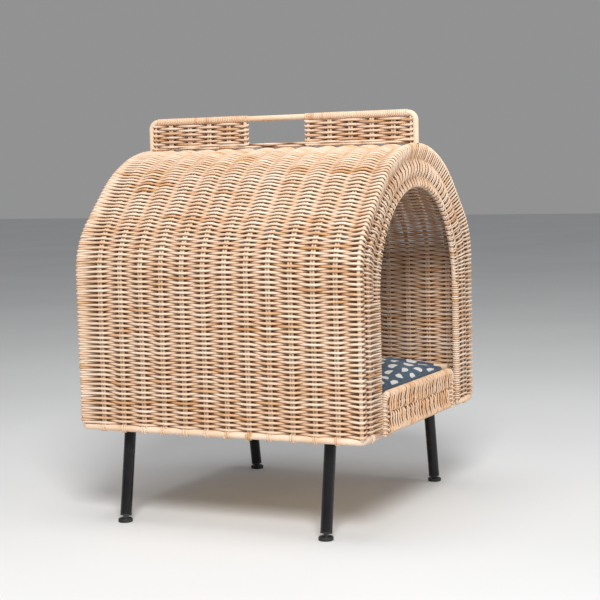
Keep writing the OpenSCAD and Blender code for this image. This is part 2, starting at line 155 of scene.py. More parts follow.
class Bundle:
    """Collects swept strands and makes one mesh of them. Its attributes are each strand's tone, the
    length along it, and how openly each point lies: 1 on a crest, -1 deep between two crests. The last
    sets the painted shade between the crests."""

    def __init__(self, sides=6):
        self.sides = sides
        self.verts = []
        self.faces = []
        self.along = []
        self.tone = []
        self.open = []
        self.count = 0

    def add(self, points, normals, radius, tone=None, flat=1.0, levels=None):
        """Sweeps a tube through points. normals steer its section, flat squashes it along them, and
        levels are the points' heights along them above the middle of the wall."""
        points = np.asarray(points, float)
        normals = np.asarray(normals, float)
        n = len(points)
        tangent = np.gradient(points, axis=0)
        tangent /= np.linalg.norm(tangent, axis=1)[:, None] + 1e-12
        turns = np.sign((normals[1:] * normals[:-1]).sum(1) + 1e-9)
        turns = np.concatenate([[1], np.cumprod(turns)])
        normals = normals * turns[:, None]
        normals = normals - (normals * tangent).sum(1)[:, None] * tangent
        normals /= np.linalg.norm(normals, axis=1)[:, None] + 1e-12
        across = np.cross(tangent, normals)
        radius = np.broadcast_to(np.asarray(radius, float), (n,))
        spokes = 2 * math.pi * (np.arange(self.sides) + 0.5) / self.sides
        ring = (
            points[:, None, :]
            + (radius * flat)[:, None, None] * np.cos(spokes)[None, :, None] * normals[:, None, :]
            + radius[:, None, None] * np.sin(spokes)[None, :, None] * across[:, None, :]
        )
        # How openly each point lies sets the painted shade: dark deep between crests and on a strand's
        # hidden side.
        shade_openness = np.ones((n, self.sides))
        if levels is not None:
            lie = np.clip(np.asarray(levels) / LEVEL_FULL, -1, 1) * turns
            shade_openness = lie[:, None] * np.cos(spokes)[None, :]
        self.open.append(shade_openness.ravel())
        start = self.count
        self.verts.append(ring.reshape(-1, 3))
        rings = start + self.sides * np.arange(n - 1)[:, None]
        corners = np.arange(self.sides)[None, :]
        first = rings + corners
        second = rings + (corners + 1) % self.sides
        quads = np.stack([first, second, second + self.sides, first + self.sides], -1).reshape(-1, 4)
        self.faces += quads.tolist()
        self.faces.append(list(range(start + self.sides - 1, start - 1, -1)))
        last = start + (n - 1) * self.sides
        self.faces.append(list(range(last, last + self.sides)))
        self.along.append(np.repeat(walked(points), self.sides) + rng.uniform(0, 50))
        self.tone.append(np.full(n * self.sides, rng.uniform() if tone is None else tone))
        self.count += n * self.sides

    def build(self, name, material, body, replaced=()):
        mesh = bpy.data.meshes.new(name)
        mesh.from_pydata(np.concatenate(self.verts), [], self.faces)
        mesh.polygons.foreach_set("use_smooth", np.ones(len(mesh.polygons), bool))
        labels = ("strand_along", "strand_tone", "painted_shade_openness")
        for label, values in zip(labels, (self.along, self.tone, self.open)):
            layer = mesh.attributes.new(label, "FLOAT", "POINT")
            layer.data.foreach_set("value", np.concatenate(values).astype(np.float32))
        mesh.materials.append(material)
        mesh.validate()
        piece = put_in_scene(name, mesh)
        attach(piece, body)
        if replaced:
            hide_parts(*replaced)
        return piece


STRAND_R = STRAND_D / 2
STRAND_THINNEST, STRAND_THICKEST = 0.89, 1.05
LOWEST_LIFT, HIGHEST_LIFT = 0.90, 1.08
STAKE_LIFT = STAKE_D / 2 + STRAND_R
HOOP_LIFT = ROD_D / 2 + STRAND_R
RIM_LIFT = RIM_ROD_D / 2 + STRAND_R
INSIDE_BEND = 3 * MM
X, Y, Z = np.eye(3)


def in_wall(xz, y):
    return np.array([xz[0], y, xz[1]])


def turn(centre, out, travel, radius, start, end, steps):
    """Points on a bend: `out` is 0 degrees and `travel` is 90 degrees."""
    angles = np.radians(np.linspace(start, end, steps))
    rays = np.cos(angles)[:, None] * out + np.sin(angles)[:, None] * travel
    return centre + radius * rays, rays, np.full(steps, radius)


def corner(centre, out, travel, sign, lift, start, end, steps=4):
    """A bend round the outside of a rod (sign 1), or past the inside of it (sign -1)."""
    if sign > 0:
        return turn(centre, out, travel, lift, start, end, steps)
    inner = centre - (lift + INSIDE_BEND) * (out + travel)
    points, rays, _ = turn(inner, out, travel, INSIDE_BEND, start, end, steps)
    return points, rays, np.full(steps, -lift)


def stop(point, out):
    """The single point where a strand ends, level with the middle of the wall."""
    return point[None, :], out[None, :], np.zeros(1)


CROSS_AT = np.array([-5.0, -1.8, 0.0, 1.8, 5.0]) * MM
CROSS_LIFT = np.array([0.80, 1.0, 0.94, 1.0, 0.80])


def cross(point, travel, out, sign, lift=STAKE_LIFT):
    """Points where a strand passes over (sign 1) or under (sign -1) a pair of stakes."""
    levels = sign * lift * rng.uniform(LOWEST_LIFT, HIGHEST_LIFT) * CROSS_LIFT
    points = point + CROSS_AT[:, None] * travel + levels[:, None] * out
    return points, np.repeat(out[None, :], len(CROSS_AT), 0), levels


class Path:
    """A strand's route, joined from stretches of points with their outward directions."""

    def __init__(self):
        self.points = []
        self.outs = []
        self.levels = []
        self.scales = []

    def go(self, stretch, scale=1.0):
        """Adds a stretch. scale thins the strand there."""
        points, outs, levels = stretch
        self.points.append(points)
        self.outs.append(outs)
        self.levels.append(levels)
        self.scales.append(np.full(len(points), scale))

    def lay(self, bundle, radius=STRAND_R, tone=None):
        radius = radius * rng.uniform(STRAND_THINNEST, STRAND_THICKEST) * np.concatenate(self.scales)
        points, outs, levels = map(np.concatenate, (self.points, self.outs, self.levels))
        bundle.add(points, outs, radius, tone, levels=levels)


SWAY_FADE = 40 * MM


def sway(s, y):
    """How far the rows wander from level: much the same for neighbours, and less near the foot."""
    fade = min(1.0, max(0.0, s / SWAY_FADE))
    long_wave = 1.2 * math.sin(33 * y + 14 * s + 0.7)
    short_wave = 0.7 * math.sin(75 * y - 30 * s + 2.1)
    return fade * (long_wave + short_wave) * MM


def even_spots(half_span, count):
    """The places of `count` stake pairs, evenly between two rods."""
    return [2 * half_span * (i + 1) / (count + 1) - half_span for i in range(count)]


# ---- Hood weaving: barrel and front arch ----
arch = Arch()
ROWS = int(arch.half / STRAND_PITCH)
ROW_PITCH = arch.half / ROWS
BARREL_YS = even_spots(HOOP_Y, BARREL_PAIRS)
BACK_XS = even_spots(HALF_W - WALL_T / 2, BACK_PAIRS)
RIM_UPRIGHT = RIM_SPRING_Z - FOOT_TOP_Z
RIM_HALF = RIM_UPRIGHT + RIM_R * math.pi / 2
MID_INSET = (HALF_W - (RIM_R - WALL_T / 2)) / 2


def rim_at(t):
    """A point on the doorway's rod, t along it from the left foot."""
    if t < RIM_UPRIGHT:
        return np.array([-RIM_R, FOOT_TOP_Z + t])
    angle = (t - RIM_UPRIGHT) / RIM_R
    return np.array([-RIM_R * math.cos(angle), RIM_SPRING_Z + RIM_R * math.sin(angle)])


def row_sign(station, row):
    return 1 if (station + row) % 2 == 0 else -1


# In the front band the strands draw together in bunches. It starts above the jambs, and is complete
# BUNCH_RISE higher.
BUNCH = 4
BUNCH_SQUEEZE = 0.34
BUNCH_RISE = 90 * MM
# How thick they are at the band's middle and at the rim: beside the jambs, and over the doorway.
MID_SCALES = (0.82, 0.67)
RIM_SCALES = (0.80, 0.59)
# Every other strand lies this much closer round the back hoop, and is thinner there.
TUCK = 0.9 * MM
TUCK_SCALE = 0.9
ROW_JITTER = 0.2 * MM


def between(ends, t):
    return ends[0] + (ends[1] - ends[0]) * t


def hood_strand(bundle, row, side):
    """One strand: round the back hoop, forward along the barrel, round the front hoop, in to the rim."""
    s = (row + 0.5) * ROW_PITCH
    flip = np.array([-side, 1, 1])
    path = Path()

    def wall_point(y):
        xz, out = arch.at(s + sway(s, y) + rng.normal(0, ROW_JITTER))
        return in_wall(xz, y) * flip, in_wall(out, 0) * flip

    hoop_at, out = wall_point(HOOP_Y)
    last = len(BARREL_YS) + 1
    if row_sign(last, row) > 0:
        path.go(turn(hoop_at, out, Y, HOOP_LIFT, 95 if s < arch.upright else 170, 0, 5))
    else:
        path.go(turn(hoop_at, out, Y, HOOP_LIFT - TUCK, 165, 0, 6), TUCK_SCALE)
    for station in range(last - 1, 0, -1):
        at, out = wall_point(BARREL_YS[station - 1])
        path.go(cross(at, -Y, out, row_sign(station, row)))

    hoop_at, out = wall_point(-HOOP_Y)
    sign = row_sign(0, row)
    path.go(corner(hoop_at, out, -Y, sign, HOOP_LIFT, 5, 90))
    fan = min(1.0, max(0.0, (s - RIM_UPRIGHT) / BUNCH_RISE))
    bunched = s - fan * BUNCH_SQUEEZE * ((row % BUNCH) - (BUNCH - 1) / 2) * ROW_PITCH
    bunched = min(bunched, arch.half)
    t = bunched
    if bunched > RIM_UPRIGHT:
        t = RIM_UPRIGHT + (bunched - RIM_UPRIGHT) * (RIM_HALF - RIM_UPRIGHT) / (arch.half - RIM_UPRIGHT)
    rim = in_wall(rim_at(t), -HOOP_Y) * flip
    edge_xz, edge_out = arch.at(bunched)
    edge = in_wall(edge_xz, -HOOP_Y) * flip
    inward = (rim - edge) / np.linalg.norm(rim - edge)
    square_on = max(0.5, float(np.dot(inward, -in_wall(edge_out, 0) * flip)))
    mid = edge + inward * (MID_INSET - WALL_T / 2) / square_on
    path.go(cross(mid, inward, -Y, -sign), between(MID_SCALES, fan))
    if sign > 0 or s < RIM_UPRIGHT:
        path.go(turn(rim, -Y, inward, RIM_LIFT, 0, 190, 7), between(RIM_SCALES, fan))
    else:
        path.go(turn(rim, -Y, inward, RIM_LIFT, 180, 60, 5), between(RIM_SCALES, fan))
    path.lay(bundle)


def back_edge_x(z):
    """Half the width between the back hoops at height z."""
    if z < SPRING_Z:
        return HALF_W - WALL_T / 2
    return float(np.interp(z, ARCH_ZS, ARCH_XS))


samples = [arch.at(s)[0] for s in np.linspace(arch.upright, arch.half, 200)]
ARCH_ZS = [p[1] for p in samples]
ARCH_XS = [-p[0] for p in samples]


WALL_ROWS = round(arch.upright / ROW_PITCH)
# Above the side walls the back wall's rows stand closer.
GABLE_PITCH = 0.9 * ROW_PITCH
BACK_STRAND_R = 1.14 * STRAND_R
BACK_JITTER = 0.12 * MM
HOOP_CLEAR = 8 * MM
END_IN = 2 * MM


def back_strand(bundle, row):
    """One level strand of the back wall, from hoop to hoop."""
    z = FOOT_TOP_Z + (row + 0.5) * ROW_PITCH
    if row >= WALL_ROWS:
        z = FOOT_TOP_Z + WALL_ROWS * ROW_PITCH + (row - WALL_ROWS + 0.5) * GABLE_PITCH
    if z > CROWN_Z - WALL_T - STRAND_R:
        return
    edge = back_edge_x(z)
    first = BARREL_PAIRS + 1
    path = Path()
    on_wall = z < SPRING_Z
    wander = [sway(z - FOOT_TOP_Z, x + 0.3) + rng.normal(0, BACK_JITTER) for x in BACK_XS]
    left = in_wall((-edge, z + sway(z - FOOT_TOP_Z, HOOP_Y)), HOOP_Y)
    sign = row_sign(first, row)
    if on_wall:
        path.go(corner(left, -X, Y, sign, HOOP_LIFT, 75, 90, 2))
    else:
        path.go(stop(left + END_IN * (X + sign * Y), Y))
    for i, x in enumerate(BACK_XS):
        if abs(x) < edge - HOOP_CLEAR:
            path.go(cross(in_wall((x, z + wander[i]), HOOP_Y), X, Y, row_sign(first + 1 + i, row)))
    right = left * [-1, 1, 1]
    sign = row_sign(first + 1 + BACK_PAIRS, row)
    if on_wall:
        path.go(corner(right, X, Y, sign, HOOP_LIFT, 90, 75, 2))
    else:
        path.go(stop(right + END_IN * (sign * Y - X), Y))
    path.lay(bundle, BACK_STRAND_R)


# ---- Materials ----
class Look:
    """A material under construction, with short ways to add nodes to it. Where a method takes a value,
    it may be a number, a colour or another node's output."""

    def __init__(self, name):
        self.material = bpy.data.materials.new(name)
        self.material.use_nodes = True
        self.nodes = self.material.node_tree.nodes
        self.links = self.material.node_tree.links
        self.shader = self.nodes["Principled BSDF"]

    def feed(self, socket, value):
        if isinstance(value, bpy.types.NodeSocket):
            self.links.new(value, socket)
        else:
            socket.default_value = value

    def surface(self, **values):
        """Feeds the surface's own inputs: Base_Color=... feeds the one named Base Color."""
        for name, value in values.items():
            self.feed(self.shader.inputs[name.replace("_", " ")], value)

    def ramp(self, fac, stops):
        node = self.nodes.new("ShaderNodeValToRGB")
        elements = node.color_ramp.elements
        while len(elements) < len(stops):
            elements.new(0.5)
        for element, (place, colour) in zip(elements, stops):
            element.position = place
            element.color = (*colour, 1)
        self.links.new(fac, node.inputs[0])
        return node.outputs[0]

    def noise(self, vector, scale, detail=3.0, roughness=0.55):
        node = self.nodes.new("ShaderNodeTexNoise")
        node.inputs["Scale"].default_value = scale
        node.inputs["Detail"].default_value = detail
        node.inputs["Roughness"].default_value = roughness
        self.links.new(vector, node.inputs["Vector"])
        return node.outputs[0]

    def maths(self, operation, *values):
        node = self.nodes.new("ShaderNodeMath")
        node.operation = operation
        for socket, value in zip(node.inputs, values):
            self.feed(socket, value)
        return node.outputs[0]

    def vector(self, x=0.0, y=0.0, z=0.0):
        node = self.nodes.new("ShaderNodeCombineXYZ")
        for socket, value in zip(node.inputs, (x, y, z)):
            self.feed(socket, value)
        return node.outputs[0]

    def axes(self, vector):
        node = self.nodes.new("ShaderNodeSeparateXYZ")
        self.links.new(vector, node.inputs[0])
        return node.outputs

    def mixed(self, fac, a, b, blend="MIX"):
        node = self.nodes.new("ShaderNodeMix")
        node.data_type = "RGBA"
        node.blend_type = blend
        self.feed(node.inputs["Factor"], fac)
        self.feed(node.inputs["A"], a)
        self.feed(node.inputs["B"], b)
        return node.outputs["Result"]

    def spread(self, value, low, high, start=0.0, end=1.0):
        """Maps start to low and end to high."""
        node = self.nodes.new("ShaderNodeMapRange")
        node.inputs["From Min"].default_value = start
        node.inputs["From Max"].default_value = end
        node.inputs["To Min"].default_value = low
        node.inputs["To Max"].default_value = high
        self.links.new(value, node.inputs["Value"])
        return node.outputs[0]

    def bump(self, height, strength, distance):
        node = self.nodes.new("ShaderNodeBump")
        node.inputs["Strength"].default_value = strength
        node.inputs["Distance"].default_value = distance
        self.links.new(height, node.inputs["Height"])
        self.surface(Normal=node.outputs[0])

    def attribute(self, name, output="Fac"):
        node = self.nodes.new("ShaderNodeAttribute")
        node.attribute_name = name
        return node.outputs[output]

    def place(self):
        """Where a point lies on its object."""
        return self.nodes.new("ShaderNodeTexCoord").outputs["Object"]


RATTAN_TONES = [
    (0.0, (0.36, 0.150, 0.050)),
    (0.17, (0.61, 0.315, 0.130)),
    (0.34, (0.77, 0.495, 0.310)),
    (0.58, (0.85, 0.635, 0.465)),
    (0.90, (0.92, 0.770, 0.635)),
]
# Painted shade: colour multiplied in by how openly a strand lies, darkest deep between the crests.
PAINTED_SHADE_BY_OPENNESS = [
    (0.0, (0.22, 0.090, 0.034)),
    (0.62, (0.84, 0.77, 0.70)),
    (1.0, (1.0, 1.0, 1.0)),
]
GOLD = (0.62, 0.300, 0.080, 1)
FIBRES_PER_METRE = 900.0


def rattan(name, woven, painted_shade_tint=(1, 1, 1)):
    """Peeled rattan: pale core with darker blotches and long fibres. Woven strands have tones of their
    own and golden streaks, and painted shade that darkens them deep between the crests. Other pieces
    take a tint, which on the stakes is painted shade."""
    look = Look(name)
    place = look.place()
    axes = look.axes(place)
    if woven:
        along = look.attribute("strand_along")
        tone = look.attribute("strand_tone")
        streak_at = look.vector(look.maths("MULTIPLY", along, 14.0), tone)
        fibre_along = look.maths("MULTIPLY", along, 60.0)
        base = look.maths("MULTIPLY_ADD", tone, 0.34, 0.07)
    else:
        streak_at = place
        fibre_along = look.maths("MULTIPLY", axes[1], FIBRES_PER_METRE)
        base = look.spread(look.noise(place, 9.0, 1.0), 0.1, 0.34)
    streaks = look.noise(streak_at, 1.0 if woven else 22.0, 2.0)
    patches = look.noise(place, 13.0, 2.0)
    total = look.maths("MULTIPLY_ADD", streaks, 0.5, base)
    total = look.maths("MULTIPLY_ADD", patches, 0.42, total)
    total = look.maths("SUBTRACT", total, 0.06)
    colour = look.ramp(total, RATTAN_TONES)
    if woven:
        lot = look.maths("MULTIPLY", tone, 91.0)
        gold_at = look.vector(look.maths("MULTIPLY", along, 9.0), lot, 4.0)
        gold = look.noise(gold_at, 1.0, 1.0)
        gold = look.ramp(gold, [(0.585, (0.0, 0.0, 0.0)), (0.69, (0.66, 0.66, 0.66))])
        colour = look.mixed(gold, colour, GOLD)
    fibre_at = look.vector(
        look.maths("MULTIPLY", axes[0], FIBRES_PER_METRE),
        fibre_along,
        look.maths("MULTIPLY", axes[2], FIBRES_PER_METRE),
    )
    fibres = look.noise(fibre_at, 1.0, 4.0, 0.6)
    shade = look.ramp(fibres, [(0.25, (0.76, 0.72, 0.68)), (0.6, (1.0, 1.0, 1.0))])
    colour = look.mixed(0.8, colour, shade, "MULTIPLY")
    if woven:
        # Painted shade, darker where a strand lies deep between the crests.
        openness = look.spread(look.attribute("painted_shade_openness"), 0.0, 1.0, start=-0.9, end=0.5)
        cavity_painted_shade = look.ramp(openness, PAINTED_SHADE_BY_OPENNESS)
        colour = look.mixed(1.0, colour, cavity_painted_shade, "MULTIPLY")
    else:
        # On the stakes this tint is painted shade, as though they lay in the shade of the slits; for
        # other pieces it is white.
        colour = look.mixed(1.0, colour, (*painted_shade_tint, 1), "MULTIPLY")
    look.surface(Base_Color=colour, Roughness=look.spread(fibres, 0.42, 0.66), Specular_IOR_Level=0.22)
    look.bump(fibres, 0.25, 0.3 * MM)
    return look.material


def black_steel():
    """Satin black powder coat with a fine orange-peel surface and faint scuffs."""
    look = Look("black_powder_coat")
    place = look.place()
    peel = look.noise(place, 900.0, 2.0)
    scuffs = look.noise(place, 38.0, 5.0, 0.65)
    colour = look.ramp(scuffs, [(0.35, (0.004, 0.004, 0.005)), (0.75, (0.010, 0.0105, 0.012))])
    look.surface(Base_Color=colour, Roughness=look.spread(scuffs, 0.20, 0.32))
    look.surface(Specular_IOR_Level=0.32, Coat_Weight=0.12, Coat_Roughness=0.12)
    look.bump(peel, 0.18, 0.05 * MM)
    return look.material


def black_plastic():
    """Moulded plastic with a fine texture, dustier than the steel."""
    look = Look("black_plastic")
    place = look.place()
    grain = look.noise(place, 2200.0, 2.0)
    dust = look.noise(place, 60.0, 3.0)
    colour = look.ramp(dust, [(0.4, (0.012, 0.012, 0.013)), (0.8, (0.034, 0.034, 0.036))])
    look.surface(Base_Color=colour, Roughness=look.spread(grain, 0.48, 0.64))
    look.bump(grain, 0.3, 0.04 * MM)
    return look.material


def zinc():
    """Black zinc plating: dark metal with a cloudy pattern and turning marks."""
    look = Look("zinc_plate")
    place = look.place()
    clouds = look.noise(place, 240.0, 3.0)
    rings = look.noise(look.vector(z=look.axes(place)[2]), 2600.0, 1.0)
    colour = look.ramp(clouds, [(0.3, (0.06, 0.06, 0.065)), (0.7, (0.13, 0.13, 0.135))])
    look.surface(Base_Color=colour, Roughness=look.spread(clouds, 0.24, 0.42), Metallic=1.0)
    look.bump(rings, 0.25, 0.05 * MM)
    return look.material


BIRCH_FACE = [(0.3, (0.50, 0.34, 0.19)), (0.55, (0.68, 0.50, 0.31)), (0.8, (0.76, 0.60, 0.41))]
BIRCH_EDGE = [(0.3, (0.36, 0.22, 0.11)), (0.6, (0.64, 0.46, 0.28))]
PLY_PAIR = 3 * MM


def plywood():
    """Birch plywood: long grain on the faces and thin dark and light plies on the edges."""
    look = Look("birch_plywood")
    place = look.place()
    axes = look.axes(place)
    warp = look.noise(place, 3.0, 2.0)
    grain_at = look.vector(
        look.maths("MULTIPLY_ADD", warp, 3.0, look.maths("MULTIPLY", axes[0], 55.0)),
        look.maths("MULTIPLY", axes[1], 3.5),
    )
    grain = look.noise(grain_at, 1.0, 5.0, 0.6)
    face = look.ramp(grain, BIRCH_FACE)
    plies = look.maths("SINE", look.maths("MULTIPLY", axes[2], 2 * math.pi / PLY_PAIR))
    edge = look.ramp(look.spread(plies, 0.0, 1.0), BIRCH_EDGE)
    facing = look.axes(look.nodes.new("ShaderNodeNewGeometry").outputs["Normal"])
    is_face = look.maths("GREATER_THAN", look.maths("ABSOLUTE", facing[2]), 0.5)
    look.surface(Base_Color=look.mixed(is_face, edge, face), Roughness=look.spread(grain, 0.55, 0.72))
    look.bump(grain, 0.2, 0.2 * MM)
    return look.material


PRINT_CELL = 21 * MM
PRINT_STRETCH = 1.75
YARN_WAVE = 1.1 * MM
# In cells: the ovals' radius, where a flat side cuts them, and their way off centre.
OVAL_RADIUS = 0.36
OVAL_CUT = -0.10
OVAL_SHIFT = 0.08


def printed_cotton(name, printed):
    """Blue woven cotton, with off-white cut ovals printed on it in staggered rows."""
    look = Look(name)
    place = look.place()
    washed = look.noise(place, 14.0, 4.0, 0.6)
    blue = look.ramp(washed, [(0.3, (0.012, 0.046, 0.090)), (0.7, (0.032, 0.098, 0.168))])
    cloth = look.axes(look.attribute("print_place", "Vector"))
    yarns = []
    for axis in (0, 1):
        phase = look.maths("MULTIPLY", cloth[axis], 2 * math.pi / YARN_WAVE)
        yarns.append(look.maths("ABSOLUTE", look.maths("SINE", phase)))
    weave = look.maths("MAXIMUM", *yarns)
    colour = blue
    if printed:
        down = look.maths("DIVIDE", cloth[0], PRINT_CELL * PRINT_STRETCH)
        row = look.maths("FLOOR", down)
        shift = look.maths("MULTIPLY", look.maths("MODULO", row, 2.0), 0.5)
        across = look.maths("ADD", look.maths("DIVIDE", cloth[1], PRINT_CELL), shift)
        column = look.maths("FLOOR", across)
        lot = look.nodes.new("ShaderNodeTexWhiteNoise")
        look.feed(lot.inputs["Vector"], look.vector(column, row))
        local = look.vector(
            look.maths("SUBTRACT", look.maths("FRACT", across), 0.5),
            look.maths("SUBTRACT", look.maths("FRACT", down), 0.5),
        )
        spin = look.nodes.new("ShaderNodeVectorRotate")
        spin.rotation_type = "Z_AXIS"
        look.feed(spin.inputs["Vector"], local)
        look.feed(spin.inputs["Angle"], look.maths("MULTIPLY", lot.outputs["Value"], 2 * math.pi))
        x, y, _ = look.axes(spin.outputs[0])
        ragged = look.maths("MULTIPLY_ADD", look.noise(place, 170.0, 2.0), 0.07, -0.035)
        low = look.maths("ADD", y, OVAL_SHIFT)
        square = look.maths("ADD", look.maths("MULTIPLY", x, x), look.maths("MULTIPLY", low, low))
        reach = look.maths("SQRT", square)
        disc = look.maths("LESS_THAN", look.maths("ADD", reach, ragged), OVAL_RADIUS)
        cut = look.maths("GREATER_THAN", look.maths("ADD", low, ragged), OVAL_CUT)
        mask = look.maths("MULTIPLY", disc, cut)
        ink = look.ramp(washed, [(0.3, (0.76, 0.755, 0.74)), (0.7, (0.88, 0.88, 0.87))])
        colour = look.mixed(mask, blue, ink)
    yarn_shade = look.ramp(weave, [(0.3, (0.72, 0.72, 0.74)), (0.95, (1.0, 1.0, 1.0))])
    colour = look.mixed(0.7, colour, yarn_shade, "MULTIPLY")
    look.surface(Base_Color=colour, Roughness=look.spread(washed, 0.78, 0.92), Sheen_Weight=0.25)
    look.bump(weave, 0.35, 0.15 * MM)
    return look.material


strand_look = rattan("rattan_strands", woven=True)
rod_look = rattan("rattan_rods", woven=False)
# The stakes are a darker copy of the rods: painted shade.
shaded_stake_look = rattan("rattan_stakes_shaded", woven=False, painted_shade_tint=(0.92, 0.88, 0.84))
steel_look = black_steel()
plastic_look = black_plastic()
zinc_look = zinc()
plywood_look = plywood()

CAD_LOOKS = {
    "rattan_rod": rod_look,
    "rattan_stake": shaded_stake_look,
    "rattan_weave": rod_look,
    "cane_binding": rod_look,
    "plywood": plywood_look,
    "black_steel": steel_look,
    "zinc_steel": zinc_look,
    "black_plastic": plastic_look,
    "printed_fabric": plastic_look,
    "filling": plastic_look,
}


# ---- Smooth rods, windings and lashings ----
def run(bundle, points, side, radius, tone=None):
    """A rod through points; side is any direction that the rod never runs along."""
    points = np.asarray(points, float)
    bundle.add(points, np.repeat(np.asarray(side, float)[None, :], len(points), 0), radius, tone)


def wind(bundle, route, side, radius, pitch, strand_r, flat=0.4, tone=None):
    """Winds a flat strand round a route, one turn in every `pitch`."""
    route = np.asarray(route, float)
    length = walked(route)
    at = np.linspace(0, length[-1], max(12, int(length[-1] / pitch * 9)))
    centres = np.stack([np.interp(at, length, route[:, k]) for k in range(3)], 1)
    tangent = np.gradient(centres, axis=0)
    tangent /= np.linalg.norm(tangent, axis=1)[:, None]
    first = side - (tangent @ side)[:, None] * tangent
    first /= np.linalg.norm(first, axis=1)[:, None]
    second = np.cross(tangent, first)
    angle = 2 * math.pi * at / pitch + rng.uniform(0, 6)
    ray = np.cos(angle)[:, None] * first + np.sin(angle)[:, None] * second
    bundle.add(centres + (radius + flat * strand_r) * ray, ray, strand_r, tone, flat)


def bend(centre, start, end, radius, a, b, steps=7):
    """Points on an arc about centre from direction start to direction end."""
    angles = np.linspace(a, b, steps)
    return [centre + radius * (math.cos(t) * start + math.sin(t) * end) for t in angles]


# ---- Hood: hoops, lower border and weaving ----
BORDER_Z = STAND_Z + WALL_T / 2
BORDER_X = HALF_W - WALL_T / 2
BORDER_R = 4.6 * MM
BORDER_BEND = 6 * MM
JAMB_X = RIM_R + 3 * MM

hoops = Bundle(sides=12)
whole_arch = Arch(WALL_T / 2, BORDER_Z)
arch_line = [whole_arch.at(s)[0] for s in np.linspace(0, whole_arch.length, 150)]
for y in (-HOOP_Y, HOOP_Y):
    run(hoops, [in_wall(p, y) for p in arch_line], Y, ROD_D / 2)
left_rim = [rim_at(t) for t in np.linspace(STAND_Z - FOOT_TOP_Z, RIM_HALF, 60)]
rim_line = left_rim + [p * [-1, 1] for p in left_rim[-2::-1]]
run(hoops, [in_wall(p, -HOOP_Y) for p in rim_line], Y, RIM_ROD_D / 2)
covered = ("front_outer_hoop", "front_rim_hoop", "back_outer_hoop")
hoops.build("hood_hoops", rod_look, "hood", covered)

for side, name in ((-1, "left"), (1, "right")):
    wall = Bundle()
    roof = Bundle()
    for row in range(ROWS):
        in_wall_part = (row + 0.5) * ROW_PITCH < arch.upright
        hood_strand(wall if in_wall_part else roof, row, side)
    covered = ("barrel_weave", "front_weave")
    wall.build(f"hood_wall_weave_{name}", strand_look, "hood", covered)
    roof.build(f"hood_roof_weave_{name}", strand_look, "hood", covered)

back_wall = Bundle()
for row in range(2 * ROWS):
    back_strand(back_wall, row)
back_wall.build("hood_back_weave", strand_look, "hood", ("back_weave",))


def border_route():
    """The rod round the hood's lower edge, from the left jamb by the back to the right jamb."""
    half = [np.array([-JAMB_X, -HOOP_Y, BORDER_Z])]
    for y, start, end in ((-1, -Y, -X), (1, -X, Y)):
        centre = np.array([-(BORDER_X - BORDER_BEND), y * (HOOP_Y - BORDER_BEND), BORDER_Z])
        half += bend(centre, start, end, BORDER_BEND, 0, math.pi / 2)
    half.append(np.array([0, HOOP_Y, BORDER_Z]))
    return half + [p * [-1, 1, 1] for p in half[-2::-1]]


border = Bundle(sides=12)
run(border, border_route(), Z, BORDER_R)
covered = ("side_foot_rods", "back_foot_rod", "jamb_foot_rods")
border.build("hood_border_rod", rod_look, "hood", covered)

LASH_HALF = 3.6 * MM
LASH_PITCH = 3.5 * MM
CANE_R = 1.5 * MM
CUT_END_SHARE = 0.3
lashings = Bundle(sides=6)


def lash_border(x, y, along):
    """A lashing on the border, and sometimes the cut end of a strand that sticks out under it."""
    centre = np.array([x, y, BORDER_Z])
    slide = along * rng.uniform(-1.5, 1.5) * MM
    ends = [centre + slide - LASH_HALF * along, centre + slide + LASH_HALF * along]
    wind(lashings, ends, Z, BORDER_R, LASH_PITCH, CANE_R, 0.6)
    if rng.uniform() < CUT_END_SHARE:
        foot = centre + slide + rng.uniform(2, 6) * MM * along - (BORDER_R - 0.5 * MM) * Z
        tip = foot - 2.4 * MM * Z + rng.uniform(1, 3) * MM * along
        run(lashings, [foot, (foot + tip) / 2, tip], np.cross(along, Z), 1.3 * MM)


for y in BARREL_YS:
    for side in (-1, 1):
        lash_border(side * BORDER_X, y, Y)
for x in BACK_XS:
    lash_border(x, HOOP_Y, X)
for side in (-1, 1):
    lash_border(side * (HALF_W - MID_INSET), -HOOP_Y, X)
lashings.build("hood_border_lashings", strand_look, "hood", ("foot_lashings",))

# ---- Ridge handle ----
rail_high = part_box("ridge_rail")[1]
posts_low, posts_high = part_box("ridge_posts")
RAIL_R = rail_high[0]
RAIL_Y = rail_high[1] - RAIL_R
RAIL_Z = rail_high[2] - RAIL_R
POST_HALF = 3.6 * MM
POST_YS = [posts_low[1] + POST_HALF, posts_high[1] - POST_HALF]
POST_R = 2.6 * MM
END_STAKE_IN = 7.2 * MM
RAIL_BEND = 15 * MM
RIDGE_CLEAR = 8 * MM
WINDING_PITCH = 2.9 * MM
panel_top = RAIL_Z - RAIL_R - STRAND_R
ridge_rows = int((panel_top - CROWN_Z) / STRAND_PITCH)

